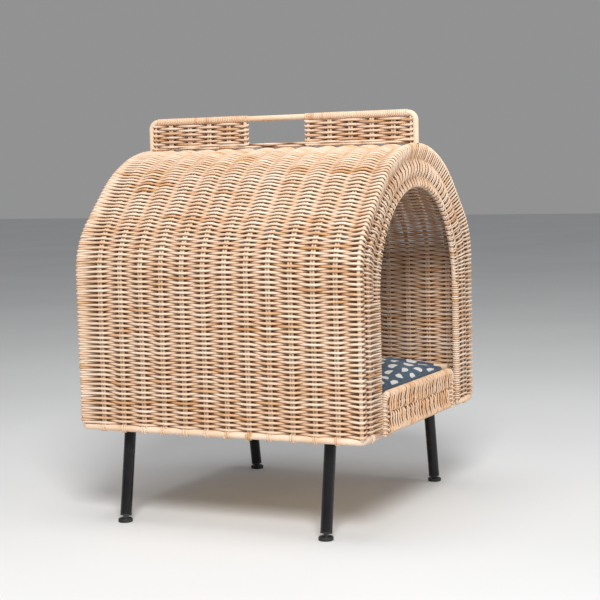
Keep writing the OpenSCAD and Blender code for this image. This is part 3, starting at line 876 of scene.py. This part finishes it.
ridge = Bundle()
ridge_rods = Bundle(sides=10)
for end, post_y in zip((-1, 1), POST_YS):
    end_y = end * (RAIL_Y - END_STAKE_IN)
    inner = [y for y in BARREL_YS if RIDGE_CLEAR < abs(y - end_y) and end * (y - post_y) > RIDGE_CLEAR]
    stations = sorted([(y, STAKE_D / 2) for y in inner] + [(end_y, STAKE_D / 2), (post_y, POST_R)])
    for y, r in ((end_y, STAKE_D / 2), (post_y, POST_R)):
        run(ridge_rods, [(0, y, z) for z in np.linspace(CROWN_Z - 4 * MM, RAIL_Z, 4)], Y, r)
    for row in range(ridge_rows):
        path = Path()
        level = CROWN_Z + (row + 0.7) * (panel_top - CROWN_Z) / ridge_rows + rng.normal(0, 0.15) * MM
        for i, (y, r) in enumerate(stations):
            sign = row_sign(i, row)
            at = np.array([0, y, level + 0.5 * MM * math.sin(0.9 * row + 60 * y)])
            lift = r + STRAND_R
            if 0 < i < len(stations) - 1:
                path.go(cross(at, Y, X, sign, lift))
                continue
            first = i == 0
            climbs = 1 if (row + first) % 2 == 0 else -1
            points, rays, levels = turn(at, sign * X, -Y if first else Y, lift, 0, 100, 5)
            points = points + np.linspace(0, climbs * STRAND_PITCH / 2, 5)[:, None] * Z
            path.go((points[::-1], rays[::-1], levels) if first else (points, rays, levels))
        path.lay(ridge)
for row in range(2):
    path = Path()
    for i, y in enumerate([-RAIL_Y + END_STAKE_IN] + BARREL_YS[1:-1] + [RAIL_Y - END_STAKE_IN]):
        at = np.array([0, y, CROWN_Z + (row + 0.6) * STRAND_PITCH])
        path.go(cross(at, Y, X, row_sign(i, row)))
    path.lay(ridge)
ridge.build("ridge_panel_weave", strand_look, "hood", ("ridge_weave",))
ridge_rods.build("ridge_panel_posts", rod_look, "hood", ("ridge_posts",))

bindings = Bundle(sides=6)
for end, post_y in zip((-1, 1), POST_YS):
    ends = [(0, end * (RAIL_Y + RAIL_R - RAIL_BEND), RAIL_Z), (0, post_y - end * POST_HALF, RAIL_Z)]
    wind(bindings, ends, X, RAIL_R, WINDING_PITCH, CANE_R)
bindings.build("ridge_rail_winding", strand_look, "hood", ("ridge_bindings",))

# ---- Tray walls ----
tray_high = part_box("tray_rim_rod")[1]
TRAY_X = tray_high[0] - WALL_T / 2
TRAY_Y = tray_high[1] - WALL_T / 2
TRAY_TOP = tray_high[2] - WALL_T
TRAY_PAIRS_X, TRAY_PAIRS_Y = 9, 10
TRAY_ROWS = int((TRAY_TOP - FOOT_TOP_Z) / STRAND_PITCH)
RETURN_X = 128 * MM
RETURN_CLEAR = 5 * MM
CORNER_LIFT = 4 * MM


def tray_strand(bundle, row):
    """One strand round three sides of the tray and in along both ends of its front."""
    z = FOOT_TOP_Z + (row + 0.5) * (TRAY_TOP - FOOT_TOP_Z) / TRAY_ROWS
    path = Path()
    count = row

    def next_sign():
        nonlocal count
        count += 1
        return 1 if count % 2 else -1

    def pass_pair(x, y, travel, out):
        at = np.array([x, y, z + rng.normal(0, 0.15) * MM])
        path.go(cross(at, travel, out, next_sign()))

    def pass_corner(x, y, out, travel):
        path.go(corner(np.array([x, y, z]), out, travel, next_sign(), CORNER_LIFT, 0, 90))

    xs = even_spots(TRAY_X, TRAY_PAIRS_X)
    ys = even_spots(TRAY_Y, TRAY_PAIRS_Y)
    returns = [x for x in xs if x < -RETURN_X - RETURN_CLEAR]
    path.go(stop(np.array([-RETURN_X, -TRAY_Y, z]), -Y))
    for x in reversed(returns):
        pass_pair(x, -TRAY_Y, -X, -Y)
    pass_corner(-TRAY_X, -TRAY_Y, -Y, -X)
    for y in ys:
        pass_pair(-TRAY_X, y, Y, -X)
    pass_corner(-TRAY_X, TRAY_Y, -X, Y)
    for x in xs:
        pass_pair(x, TRAY_Y, X, Y)
    pass_corner(TRAY_X, TRAY_Y, Y, X)
    for y in reversed(ys):
        pass_pair(TRAY_X, y, -Y, X)
    pass_corner(TRAY_X, -TRAY_Y, X, -Y)
    for x in returns:
        pass_pair(-x, -TRAY_Y, -X, -Y)
    path.go(stop(np.array([RETURN_X, -TRAY_Y, z]), -Y))
    path.lay(bundle)


tray_walls = Bundle()
for row in range(TRAY_ROWS):
    tray_strand(tray_walls, row)
tray_walls.build("tray_wall_weave", strand_look, "tray", ("tray_weave",))

# ---- Sill ----
frame_low, frame_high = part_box("sill_frame_rod")
SILL_ROD_R = (frame_high[1] - frame_low[1]) / 2
SILL_Y = (frame_high[1] + frame_low[1]) / 2
SILL_X = frame_high[0] - SILL_ROD_R
SILL_TOP_Z = frame_high[2] - SILL_ROD_R
low_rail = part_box("sill_bottom_rail")
SILL_LOW_Z = (low_rail[0][2] + low_rail[1][2]) / 2
SILL_END_X = low_rail[1][0]
SILL_BEND = SILL_X - SILL_END_X
SILL_STRAND_R = 1.5 * MM
SILL_PITCH = 4.0 * MM
SILL_SQUEEZE = 0.75
SILL_LARGEST_BUNCH = 4
SILL_DARKEST, SILL_PALEST = -0.35, 0.35
SILL_CROSS_WANDER = 2.5 * MM
SILL_LIFT = SILL_ROD_R + SILL_STRAND_R
SILL_MID_R = 1.5 * MM
SILL_MID_ZS = [SILL_LOW_Z + (SILL_TOP_Z - SILL_LOW_Z) * k for k in (0.36, 0.66)]


def sill_strand(bundle, x, sign):
    """An upright strand: out from under the bottom rail, past two thin rods, over the top rail."""

    def at(z, wander):
        """Where the strand is at height z, a few tenths of a millimetre from its place."""
        return np.array([x + rng.normal(0, wander) * MM, SILL_Y, z])

    path = Path()
    path.go(turn(at(SILL_LOW_Z, 0.35), -Y, -Z, SILL_LIFT, 120, 0, 5))
    for z, side in zip(SILL_MID_ZS, (sign, -sign)):
        spot = at(z + rng.uniform(-SILL_CROSS_WANDER, SILL_CROSS_WANDER), 0.5)
        path.go(cross(spot, Z, -Y, side, SILL_MID_R + SILL_STRAND_R))
    path.go(turn(at(SILL_TOP_Z, 0.2), -Y, Z, SILL_LIFT, 0, 200, 8))
    path.lay(bundle, SILL_STRAND_R, rng.uniform(SILL_DARKEST, SILL_PALEST))


def bunched_places(half_span, pitch):
    """Evenly spaced places, drawn together in bunches of one to four."""
    count = int(2 * half_span / pitch)
    places = [((i + 0.5) * 2 / count - 1) * half_span for i in range(count)]
    start = 0
    while start < count:
        bunch = places[start : start + int(rng.integers(1, SILL_LARGEST_BUNCH + 1))]
        middle = sum(bunch) / len(bunch)
        for k, x in enumerate(bunch):
            places[start + k] = middle + (x - middle) * SILL_SQUEEZE
        start += len(bunch)
    return places


sill = Bundle()
for i, x in enumerate(bunched_places(SILL_END_X - 1 * MM, SILL_PITCH)):
    sill_strand(sill, x, 1 if i % 2 else -1)
sill.build("sill_panel_weave", strand_look, "tray", ("sill_weave",))
mid_rods = Bundle(sides=8)
for z in SILL_MID_ZS:
    run(mid_rods, [(x, SILL_Y, z) for x in (-SILL_END_X, 0, SILL_END_X)], Z, SILL_MID_R)
mid_rods.build("sill_mid_rods", rod_look, "tray", ("sill_mid_rails",))

sill_ends = Bundle()
END_STRAND_R = 1.35 * MM
INNER_X = SILL_END_X + 4.6 * MM
INNER_R = 1.6 * MM
for side in (-1, 1):
    top = SILL_TOP_Z - SILL_BEND
    upright = [(side * INNER_X, SILL_Y, z) for z in (STAND_Z, top, SILL_TOP_Z - 3 * MM)]
    run(sill_ends, upright, Y, INNER_R)
    rows = int((top - STAND_Z) / WINDING_PITCH)
    for row in range(rows):
        z = STAND_Z + (row + 0.6) * (top - STAND_Z) / rows
        out = (1 if row % 2 else -1) * Y
        inner, outer = [np.array([side * x, SILL_Y, z]) for x in (INNER_X, SILL_X)]
        path = Path()
        path.go(turn(inner, out, -side * X, INNER_R + END_STRAND_R, 110, 0, 5))
        path.go(turn(outer, -out, side * X, SILL_ROD_R + END_STRAND_R, 0, 110, 5))
        path.lay(sill_ends, END_STRAND_R)
    centre = np.array([side * SILL_END_X, SILL_Y, top])
    arc = bend(centre, side * X, Z, SILL_BEND, 0, math.pi / 2, 9)
    wind(sill_ends, arc, Y, SILL_ROD_R, WINDING_PITCH, END_STRAND_R, 0.8)
sill_ends.build("sill_end_winding", strand_look, "tray", ("sill_bindings",))


# ---- Cushion ----
cover_low, cover_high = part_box("cushion_cover")
CUSHION_MID_Z = (cover_low[2] + cover_high[2]) / 2
CUSHION_CORNER = 34 * MM
SEAM_IN = 5 * MM
OUTLINE_STEPS = 224
# The unswollen cushion's section, in mm: the way in from the seam, the top's rise, the underside's drop.
CUSHION_SECTION = [
    (0.4, 4.5, 7),
    (2, 7.5, 12),
    (6, 10, 17),
    (13, 12, 22),
    (24, 13.3, 27),
    (38, 14.2, 31),
    (60, 14.8, 32.5),
    (95, 15.2, 33),
    (135, 15.4, 33),
    (178, 15.5, 33),
]
VOXEL = 5 * MM
SWELL_CAP = 4 * MM
SWELL_FRAMES = 20
PIN_HEIGHT = 4.5 * MM
PIN_DEPTH = SEAM_IN + 4 * MM
PUCKER_FADE = 16 * MM
PRINT_FOLD = 14 * MM
FLOOR_GAP = 0.4 * MM
PIPING_R = 2.4 * MM
PIPING_IN = 3.2 * MM


def seam_point(t, inset=0.0):
    """A point on the cushion's outline, seen from above, t from 0 to 1 round it."""
    r = CUSHION_CORNER - inset
    flat_x = cover_high[0] - inset - r
    flat_y = cover_high[1] - inset - r
    sides = [2 * flat_y, 2 * flat_x] * 2
    quarter = math.pi * r / 2
    total = sum(sides) + 4 * quarter
    s = (t % 1.0) * total
    corners = [(flat_x, flat_y), (-flat_x, flat_y), (-flat_x, -flat_y), (flat_x, -flat_y)]
    for i in range(4):
        heading = math.pi / 2 * (i + 1)
        if s < sides[i]:
            out = direction(heading - math.pi / 2)
            return np.array(corners[i - 1]) + r * out + s * direction(heading), out
        s -= sides[i]
        if s < quarter:
            out = direction(heading - math.pi / 2 + s / r)
            return np.array(corners[i]) + r * out, out
        s -= quarter
    return seam_point(0.0, inset)


def outline_distance(x, y):
    """How far (x, y) lies inside the cushion's outline."""
    r = CUSHION_CORNER
    qx = abs(x) - (cover_high[0] - r)
    qy = abs(y) - (cover_high[1] - r)
    outside = math.hypot(max(qx, 0), max(qy, 0)) + min(max(qx, qy), 0) - r
    return -outside


def cushion_blank():
    """The unswollen cushion: a shallow upper half and a deeper lower one that meet at a seam."""
    bm = bmesh.new()
    outline = [seam_point(j / OUTLINE_STEPS, SEAM_IN)[0] for j in range(OUTLINE_STEPS)]

    def ring_at(inset, height):
        scale = 1 - inset / min(cover_high[0], cover_high[1])
        return [bm.verts.new((x * scale, y * scale, CUSHION_MID_Z + height)) for x, y in outline]

    seam = ring_at(0, 0)
    tops, bottoms = [seam], [seam]
    for inset, rise, drop in CUSHION_SECTION:
        tops.append(ring_at(inset * MM, rise * MM))
        bottoms.append(ring_at(inset * MM, -drop * MM))
    for stack, way in ((tops, 1), (bottoms, -1)):
        for lower, upper in zip(stack, stack[1:]):
            for j in range(len(lower)):
                k = (j + 1) % len(lower)
                quad = [lower[j], lower[k], upper[k], upper[j]]
                bm.faces.new(quad if way > 0 else quad[::-1])
        bm.faces.new(stack[-1] if way > 0 else stack[-1][::-1])
    mesh = bpy.data.meshes.new("cushion")
    bm.to_mesh(mesh)
    bm.free()
    return put_in_scene("cushion", mesh)


def settle(piece, modifier_type, **settings):
    """Adds a modifier and applies it at once."""
    modifier = piece.modifiers.new(modifier_type.lower(), modifier_type)
    for key, value in settings.items():
        setattr(modifier, key, value)
    with bpy.context.temp_override(object=piece, active_object=piece, selected_objects=[piece]):
        bpy.ops.object.modifier_apply(modifier=modifier.name)


def positions(mesh):
    points = np.empty(len(mesh.vertices) * 3)
    mesh.vertices.foreach_get("co", points)
    return points.reshape(-1, 3)


def swell(piece, cap):
    """Inflates the cushion as cloth. The seam stays where it is, and no point moves further than cap."""
    before = positions(piece.data)
    seam = piece.vertex_groups.new(name="seam")
    for i, (x, y, z) in enumerate(before):
        if abs(z - CUSHION_MID_Z) < PIN_HEIGHT and outline_distance(x, y) < PIN_DEPTH:
            seam.add([i], 1.0, "REPLACE")
    cloth = piece.modifiers.new("cloth", "CLOTH")
    cloth.settings.use_pressure = True
    cloth.settings.uniform_pressure_force = 4.0
    cloth.settings.effector_weights.gravity = 0.0
    cloth.settings.vertex_group_mass = "seam"
    cloth.settings.quality = 5
    cloth.settings.tension_stiffness = 12
    cloth.settings.bending_stiffness = 0.4
    cloth.point_cache.frame_start = 1
    cloth.point_cache.frame_end = SWELL_FRAMES
    scene = bpy.context.scene
    for step in range(1, SWELL_FRAMES + 1):
        scene.frame_set(step)
    depsgraph = bpy.context.evaluated_depsgraph_get()
    swollen = positions(piece.evaluated_get(depsgraph).to_mesh())
    piece.modifiers.remove(cloth)
    piece.vertex_groups.remove(seam)
    scene.frame_set(1)
    move = swollen - before
    length = np.linalg.norm(move, axis=1)
    move *= np.minimum(1, cap / np.maximum(length, 1e-9))[:, None]
    return before + move


def crease(shape):
    """Puckers the top beside the seam, and dimples it elsewhere."""
    for point in shape:
        x, y, z = point
        near_seam = math.exp(-max(0.0, outline_distance(x, y)) / PUCKER_FADE)
        around = math.atan2(y, x)
        pucker = 0.9 * math.sin(57 * around) + 0.7 * math.sin(91 * around + 1.3)
        dimple = 1.2 * math.sin(21 * x + 3) * math.sin(17 * y + 1) + 0.6 * math.sin(47 * x - 29 * y)
        if z > CUSHION_MID_Z:
            point[2] += between((dimple, pucker), near_seam) * MM


def mark_print(piece):
    """Stores where each point lies on the flat printed cloth: the sides fold out round the top."""
    points = positions(piece.data)
    drop = np.maximum(0, CUSHION_MID_Z + PRINT_FOLD - points[:, 2])
    reach = np.maximum(np.linalg.norm(points[:, :2], axis=1), 1e-6)
    points[:, :2] *= (1 + drop / reach)[:, None]
    layer = piece.data.attributes.new("print_place", "FLOAT_VECTOR", "POINT")
    layer.data.foreach_set("vector", points.astype(np.float32).ravel())


cushion = cushion_blank()
settle(cushion, "REMESH", mode="VOXEL", voxel_size=VOXEL)
shape = positions(cushion.data)
shape = swell(cushion, SWELL_CAP)
crease(shape)
lowest = [-cover_high[0], -cover_high[1], cover_low[2] + FLOOR_GAP]
highest = [cover_high[0], cover_high[1], cover_high[2] + SWELL_CAP]
shape = np.clip(shape, lowest, highest)
cushion.data.vertices.foreach_set("co", shape.ravel())
settle(cushion, "SUBSURF", levels=1)
cushion.data.polygons.foreach_set("use_smooth", np.ones(len(cushion.data.polygons), bool))
mark_print(cushion)
cushion.data.materials.clear()
cushion.data.materials.append(printed_cotton("printed_cotton", True))
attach(cushion, "cushion")
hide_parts("cushion_cover", "cushion_filling")

piping = Bundle(sides=8)
outline = [seam_point(t, PIPING_IN)[0] for t in np.linspace(0, 1, 240)]
run(piping, [(x, y, CUSHION_MID_Z) for x, y in outline], Z, PIPING_R, tone=0.5)
cord = piping.build("cushion_piping", printed_cotton("plain_cotton", False), "cushion")

# ---- Finishes for the CAD pieces ----
for part in frame["record"]["subparts"]:
    node = frame["nodes"][part["node"]]
    node.data.materials.clear()
    node.data.materials.append(CAD_LOOKS[part["material_slot"]])


# ---- Camera, floor and light ----
CAMERA_AT = np.array([-1.9624, -0.9803, 0.4831])
YAW, PITCH, ROLL = 0.4519, -0.0862, -0.0245
LENS_MM = 91.24
FLOOR_REACH = 12.0
WORLD_COLOUR = (0.90, 0.90, 0.91, 1)
WORLD_STRENGTH = 0.32


def aim_camera():
    forward = np.array([*direction(YAW) * math.cos(PITCH), math.sin(PITCH)])
    right = np.cross(forward, Z)
    right /= np.linalg.norm(right)
    up = np.cross(right, forward)
    side = right * math.cos(ROLL) + up * math.sin(ROLL)
    top = up * math.cos(ROLL) - right * math.sin(ROLL)
    camera = put_in_scene("camera", bpy.data.cameras.new("camera"))
    camera.data.lens = LENS_MM
    camera.data.sensor_width = 36
    camera.data.clip_end = 50
    matrix = np.eye(4)
    matrix[:3] = np.stack([side, top, -forward, CAMERA_AT], 1)
    camera.matrix_world = Matrix(matrix.tolist())
    bpy.context.scene.camera = camera


def add_area_light(name, at, look_at, size, power, colour=(1, 1, 1)):
    light = bpy.data.lights.new(name, "AREA")
    light.shape = "DISK"
    light.size = size
    light.energy = power
    light.color = colour
    lamp = put_in_scene(name, light)
    lamp.location = at
    lamp.rotation_euler = (Vector(look_at) - Vector(at)).to_track_quat("-Z", "Y").to_euler()


def lay_floor():
    look = Look("floor")
    soft = look.noise(look.place(), 1.5, 2.0)
    tint = look.ramp(soft, [(0.3, (0.72, 0.73, 0.74)), (0.7, (0.76, 0.77, 0.78))])
    look.surface(Base_Color=tint, Roughness=0.9)
    mesh = bpy.data.meshes.new("floor")
    signs = ((-1, -1), (1, -1), (1, 1), (-1, 1))
    mesh.from_pydata([(x * FLOOR_REACH, y * FLOOR_REACH, 0) for x, y in signs], [], [(0, 1, 2, 3)])
    mesh.materials.append(look.material)
    floor = put_in_scene("floor", mesh)


aim_camera()
lay_floor()
add_area_light("key", (-2.4, -1.3, 2.5), (0, 0, 0.3), 1.3, 117, (1, 0.985, 0.96))
add_area_light("top", (-0.2, 0.1, 2.8), (0, 0, 0.4), 1.4, 20)
add_area_light("front", (0.9, -2.8, 1.0), (0, 0, 0.3), 1.4, 9)
world = bpy.data.worlds.new("studio")
world.use_nodes = True
background = world.node_tree.nodes["Background"]
background.inputs["Color"].default_value = WORLD_COLOUR
background.inputs["Strength"].default_value = WORLD_STRENGTH
bpy.context.scene.world = world
bpy.context.scene.view_settings.view_transform = "Standard"
